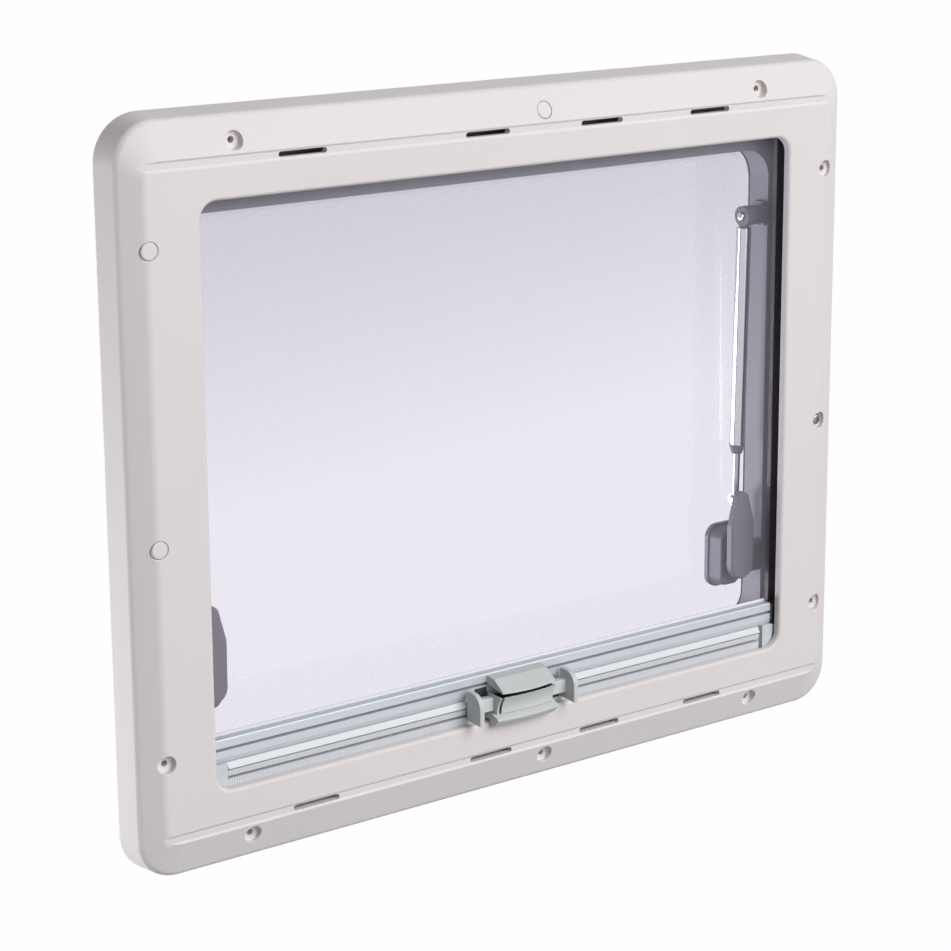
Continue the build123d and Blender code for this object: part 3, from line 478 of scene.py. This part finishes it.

# %% [markdown]
# ## Pull of the catch
# The pull is a thin hollow shell, and its front is bowed. It is made of plates: a curved face, a cheek
# at each end, a lip below for the fingers, and a black body behind them, which shows in the gaps as
# painted shade. For each plate a circle of points becomes its side profile, given as millimetres into
# the room and up. The profile is extruded along X in steps, and the points in front are drawn back
# towards the ends, which bows the plate.

# %% Pull plates
BOW, BOW_HALF = 0.0028, 0.0292
BOW_FROM, BOW_RUN = 0.060, 0.010
FACE = ((76.2, 62.7), (74.6, 60.2), (73.2, 57.6), (72.2, 55.0), (71.5, 52.4), (71.2, 50.0), (71.2, 48.6))
LIP = ((63, 43), (55.2, 43), (55.2, 48), (69.8, 48), (69.8, 47.7), (71.4, 47.5), (75.4, 46.1),
       (76.3, 45.3), (76.3, 44.1), (69.5, 37.7), (63, 39.5))
# The black body is painted shade: its black stands for the shade that falls in the pull's gaps.
SHADE_BODY = ((55.2, 43.2), (55.2, 54.2), (56.7, 54.2), (54.2, 58.4), (56.2, 58.4), (56.2, 60), (65, 57),
        (68, 50), (68, 43.2))
SHELL = FACE + ((69.2, 47.8), (69.9, 52.4), (71.6, 57.6), (74.4, 62.7))
CHEEK = FACE + ((71.2, 43.4), (56.4, 43.4), (56.4, 62.7))
PLATES = (
    ("shell", SHELL, -22.9, 25.2, 16, catch_abs), ("cheek_left", CHEEK, -26.7, -24.9, 1, catch_abs),
    ("cheek_right", CHEEK, 25.0, 26.7, 1, catch_abs), ("lip", LIP, -29.2, 29.2, 18, catch_abs),
    ("body", SHADE_BODY, -25.1, 25.2, 1, rubber),
)


def bowed_plate(profile, start, end, steps):
    """Extrude a side profile, in millimetres, along X and bow its front."""
    bpy.ops.object.select_all(action="DESELECT")
    bpy.ops.mesh.primitive_circle_add(vertices=len(profile), fill_type="NGON")
    plate = bpy.context.object
    for vertex, (inward, z) in zip(plate.data.vertices, profile):
        vertex.co = (start / 1000, -inward / 1000, z / 1000)
    bpy.ops.object.mode_set(mode="EDIT")
    bpy.ops.mesh.select_all(action="SELECT")
    step = ((end - start) / steps / 1000, 0, 0)
    for _ in range(steps):
        bpy.ops.mesh.extrude_region_move(TRANSFORM_OT_translate={"value": step})
    bpy.ops.mesh.select_all(action="SELECT")
    bpy.ops.mesh.normals_make_consistent(inside=False)
    bpy.ops.object.mode_set(mode="OBJECT")
    for vertex in plate.data.vertices:
        share = min(max((-vertex.co.y - BOW_FROM) / BOW_RUN, 0), 1)
        vertex.co.y += share * BOW * (vertex.co.x / BOW_HALF) ** 2
    round_edges(plate, 0.0003, 3, CORNER_DEG)
    return plate


plates = []
for name, profile, start, end, steps, material in PLATES:
    plate = bowed_plate(profile, start, end, steps)
    plate.data.materials.append(material)
    plates.append(plate)
    print("plate", name, len(plate.data.polygons), "faces")
for plate in plates:
    plate.select_set(True)
pull = plates[0]
bpy.context.view_layer.objects.active = pull
bpy.ops.object.join()
pull.name = "catch_pull_soft"
finish_copy(pull, "catch_pull")
print(pull.name, len(pull.data.polygons), "faces")

# %% [markdown]
# ## Rims of the fixing holes
# Each fixing hole of the inner frame is counterbored, and its rim is rounded, so it shows as a light
# ring. Here the rounding goes on those rims alone: the edges that lie on the counterbore's circle, in
# front of its floor, are selected by their place and bevelled.

# %% Rounded rims
SIDE_SPOTS = [(x, z) for x in (-0.3085, 0.3085) for z in (0.444, 0.2315, 0.0715)]
END_SPOTS = [(x, z) for x in (-0.239, 0.026, 0.239) for z in (0.0, 0.514)]
COUNTERBORE_R, RIM_ROUND = 0.00665, 0.0008
moulding = joined_copy("inner_frame")
mesh = moulding.data
rim = set()
for spot_x, spot_z in SIDE_SPOTS + END_SPOTS:
    ring = [v for v in mesh.vertices
            if abs(hypot(v.co.x - spot_x, v.co.z - spot_z) - COUNTERBORE_R) < 0.00006 and v.co.y < -0.05]
    bottom = max((v.co.y for v in ring), default=0)
    rim.update(v.index for v in ring if v.co.y < bottom - RIM_ROUND)
bpy.ops.object.mode_set(mode="EDIT")
bpy.ops.mesh.select_all(action="DESELECT")
bpy.ops.object.mode_set(mode="OBJECT")
for edge in mesh.edges:
    edge.select = edge.vertices[0] in rim and edge.vertices[1] in rim
rim_edges = sum(edge.select for edge in mesh.edges)
bpy.ops.object.mode_set(mode="EDIT")
bpy.ops.mesh.select_mode(type="EDGE")
bpy.ops.mesh.bevel(offset=RIM_ROUND, segments=3, affect="EDGES")
bpy.ops.object.mode_set(mode="OBJECT")
finish_copy(moulding, "inner_frame")
print("rim edges", rim_edges, "faces", len(mesh.polygons))

# %% [markdown]
# ## Flyscreen
# The flyscreen is woven glass fibre yarn, stretched between its roller and its bar. It could be
# thousands of threads, but one flat sheet that is clear between the threads looks the same and stays
# light. Two sets of bands cross, and where either is high there is yarn. The real mesh has a thread
# every 1.3 millimetres, finer than two pixels here, so it is drawn at a pitch of 1.6, and each thread
# is mostly see-through because it is thinner than it can be drawn.

# %% Flyscreen yarn
PITCH_MM = 1.6
yarn, tree = new_material("glass_fibre_yarn")
place = add_node(tree, "ShaderNodeTexCoord", {}, {})
across = add_node(tree, "ShaderNodeTexWave", {"bands_direction": "X", "Scale": wave_scale(PITCH_MM)},
                  {"Vector": place.outputs["Object"]})
down = add_node(tree, "ShaderNodeTexWave", {"bands_direction": "Z", "Scale": wave_scale(PITCH_MM)},
                {"Vector": place.outputs["Object"]})
either = add_node(tree, "ShaderNodeMath", {"operation": "MAXIMUM"},
                  {0: across.outputs[1], 1: down.outputs[1]})
thread = add_node(tree, "ShaderNodeMapRange",
                  {"From Min": 0.6, "From Max": 0.95, "To Min": 0.09, "To Max": 0.19},
                  {"Value": either.outputs[0]})
shader = add_node(tree, "ShaderNodeBsdfPrincipled",
                  {"Base Color": linear("#CAC9D5"), "Roughness": 0.55},
                  {"Alpha": thread.outputs[0]})
add_node(tree, "ShaderNodeOutputMaterial", {}, {"Surface": shader.outputs[0]})
print("material", yarn.name)

# %% Flyscreen sheet
low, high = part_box("flyscreen")
width, length = high.x - low.x, high.z - low.z
bpy.ops.object.select_all(action="DESELECT")
bpy.ops.mesh.primitive_plane_add(size=1, location=(low + high) / 2, rotation=(radians(90), 0, 0))
screen = bpy.context.object
screen.name = "flyscreen_mesh"
screen.scale = (width, length, 1)
bpy.ops.object.transform_apply(location=True, rotation=True, scale=True)
bpy.ops.object.mode_set(mode="EDIT")
bpy.ops.mesh.subdivide(number_cuts=24)
bpy.ops.object.mode_set(mode="OBJECT")
screen.data.materials.append(yarn)
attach(screen, "window")
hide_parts("flyscreen")
print("flyscreen", round(width, 4), "by", round(length, 4), "m")

# %% [markdown]
# The lower edge of the mesh is bound with a tape, folded over it, that slides into the bar. About two
# millimetres of it stand out above the bar as a pale line.

# %% Hem tape
HEM_SHOWS, HEM_T = 0.0024, 0.0016
FOLD_DEG = 30
bar_low, bar_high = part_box("flyscreen_bar")
middle = Vector(((bar_low.x + bar_high.x) / 2, (low.y + high.y) / 2, bar_high.z + HEM_SHOWS / 2))
bpy.ops.object.select_all(action="DESELECT")
bpy.ops.mesh.primitive_cube_add(size=1, location=middle)
hem = bpy.context.object
hem.name = "flyscreen_hem"
hem.scale = (bar_high.x - bar_low.x - 0.002, HEM_T, HEM_SHOWS)
bpy.ops.object.transform_apply(location=True, rotation=True, scale=True)
round_edges(hem, 0.0006, 3, FOLD_DEG)
bpy.ops.object.shade_smooth_by_angle(angle=radians(40))
hem.data.materials.append(hem_tape)
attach(hem, "window")
print("hem", [round(v * 1000, 1) for v in hem.dimensions])

# %% [markdown]
# ## Painted shade beside the catch
# Beside the catch's visor and pull, short slots in the bars show as black gaps of deep shade. A slot
# this narrow shows no depth, so each is painted as a thin black plate on the bar, with softened edges.

# %% Black plates of painted shade
# Each plate paints the shade of one slot: name, side, near and far X, low and high Z, and depth into the
# room.
SLOT_SHADE_PLATES = (
    ("upper_left", -1, 0.0262, 0.0370, 0.0595, 0.0665, 0.0530),
    ("upper_right", 1, 0.0262, 0.0315, 0.0595, 0.0645, 0.0530),
    ("lower_left", -1, 0.0296, 0.0426, 0.0440, 0.0500, 0.0550),
    ("lower_right", 1, 0.0296, 0.0426, 0.0440, 0.0500, 0.0550),
)
SHADE_PLATE_T = 0.0010
for where, sign, near_x, far_x, low_z, high_z, inward in SLOT_SHADE_PLATES:
    bpy.ops.object.select_all(action="DESELECT")
    bpy.ops.mesh.primitive_cube_add(size=1, location=(
        sign * (near_x + far_x) / 2, -inward - SHADE_PLATE_T / 2, (low_z + high_z) / 2))
    shade_plate = bpy.context.object
    shade_plate.name = f"catch_slot_shade_{where}"
    shade_plate.scale = (far_x - near_x, SHADE_PLATE_T, high_z - low_z)
    bpy.ops.object.transform_apply(location=True, rotation=True, scale=True)
    round_edges(shade_plate, 0.0004, 3, FOLD_DEG)
    bpy.ops.object.shade_smooth_by_angle(angle=radians(40))
    # The black rubber finish here is painted shade.
    shade_plate.data.materials.append(rubber)
    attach(shade_plate, "window")
    print(shade_plate.name, [round(v * 1000, 1) for v in shade_plate.dimensions])

# %% [markdown]
# ## Fasteners
# One fixing hole on the right still holds its screw, a zinc-plated pan head with a cross recess. A
# cylinder gives the head, a wide bevel rounds its top to a pan, and two slim blocks cut the cross. The
# stay's pins are riveted over at their ends, and a small dome gives each rivet.

# %% Pan-head screw
SCREW_X, SCREW_Z, SEAT_Y = 0.3085, 0.2315, -0.0565
HEAD_R, HEAD_H, PAN_ROUND = 0.0044, 0.0028, 0.0017
CROSS_BLADE = (0.0052, 0.0030, 0.0011)
bpy.ops.object.select_all(action="DESELECT")
bpy.ops.mesh.primitive_cylinder_add(
    vertices=32, radius=HEAD_R, depth=HEAD_H, rotation=(radians(90), 0, 0),
    location=(SCREW_X, SEAT_Y - HEAD_H / 2, SCREW_Z))
screw = bpy.context.object
screw.name = "pan_head_screw"
bpy.ops.object.transform_apply(location=True, rotation=True, scale=True)
bpy.ops.object.mode_set(mode="EDIT")
bpy.ops.mesh.select_all(action="DESELECT")
bpy.ops.object.mode_set(mode="OBJECT")
for edge in screw.data.edges:
    ends = [screw.data.vertices[i].co.y for i in edge.vertices]
    edge.select = max(ends) < SEAT_Y - HEAD_H * 0.9
bpy.ops.object.mode_set(mode="EDIT")
bpy.ops.mesh.select_mode(type="EDGE")
bpy.ops.mesh.bevel(offset=PAN_ROUND, segments=5, affect="EDGES")
bpy.ops.object.mode_set(mode="OBJECT")
for turn in (25, 115):
    bpy.ops.object.select_all(action="DESELECT")
    bpy.ops.mesh.primitive_cube_add(
        size=1, location=(SCREW_X, SEAT_Y - HEAD_H, SCREW_Z), rotation=(0, radians(turn), 0))
    blade = bpy.context.object
    blade.scale = CROSS_BLADE
    cut = screw.modifiers.new("cross", "BOOLEAN")
    cut.operation = "DIFFERENCE"
    cut.object = blade
    bpy.context.view_layer.objects.active = screw
    bpy.ops.object.modifier_apply(modifier="cross")
    bpy.data.objects.remove(blade)
screw.select_set(True)
bpy.ops.object.shade_smooth_by_angle(angle=radians(35))
screw.data.materials.append(zinc_metal)
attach(screw, "window")
print("screw", len(screw.data.polygons), "faces")

# %% Rivet heads on the stay pins
PIN_ENDS = (("upper", 0.2585, -0.016, 0.403), ("lower", 0.2582, -0.011, 0.159))
RIVET_R, RIVET_H, DOME_ROUND = 0.0036, 0.0022, 0.0011
for side, sign in (("left", -1), ("right", 1)):
    for level, x, y, z in PIN_ENDS:
        bpy.ops.object.select_all(action="DESELECT")
        bpy.ops.mesh.primitive_cylinder_add(
            vertices=24, radius=RIVET_R, depth=RIVET_H, rotation=(0, radians(90), 0),
            location=(sign * (x - RIVET_H / 2), y, z))
        rivet = bpy.context.object
        rivet.name = f"stay_rivet_{level}_{side}"
        bpy.ops.object.transform_apply(location=True, rotation=True, scale=True)
        round_edges(rivet, DOME_ROUND, 4, FOLD_DEG)
        bpy.ops.object.shade_smooth_by_angle(angle=radians(40))
        rivet.data.materials.append(tube_metal)
        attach(rivet, "window")
        print(rivet.name, len(rivet.data.polygons), "faces")

# %% Measure the visual box and finish
low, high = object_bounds()
print("visual box", [round(v, 4) for v in high - low])
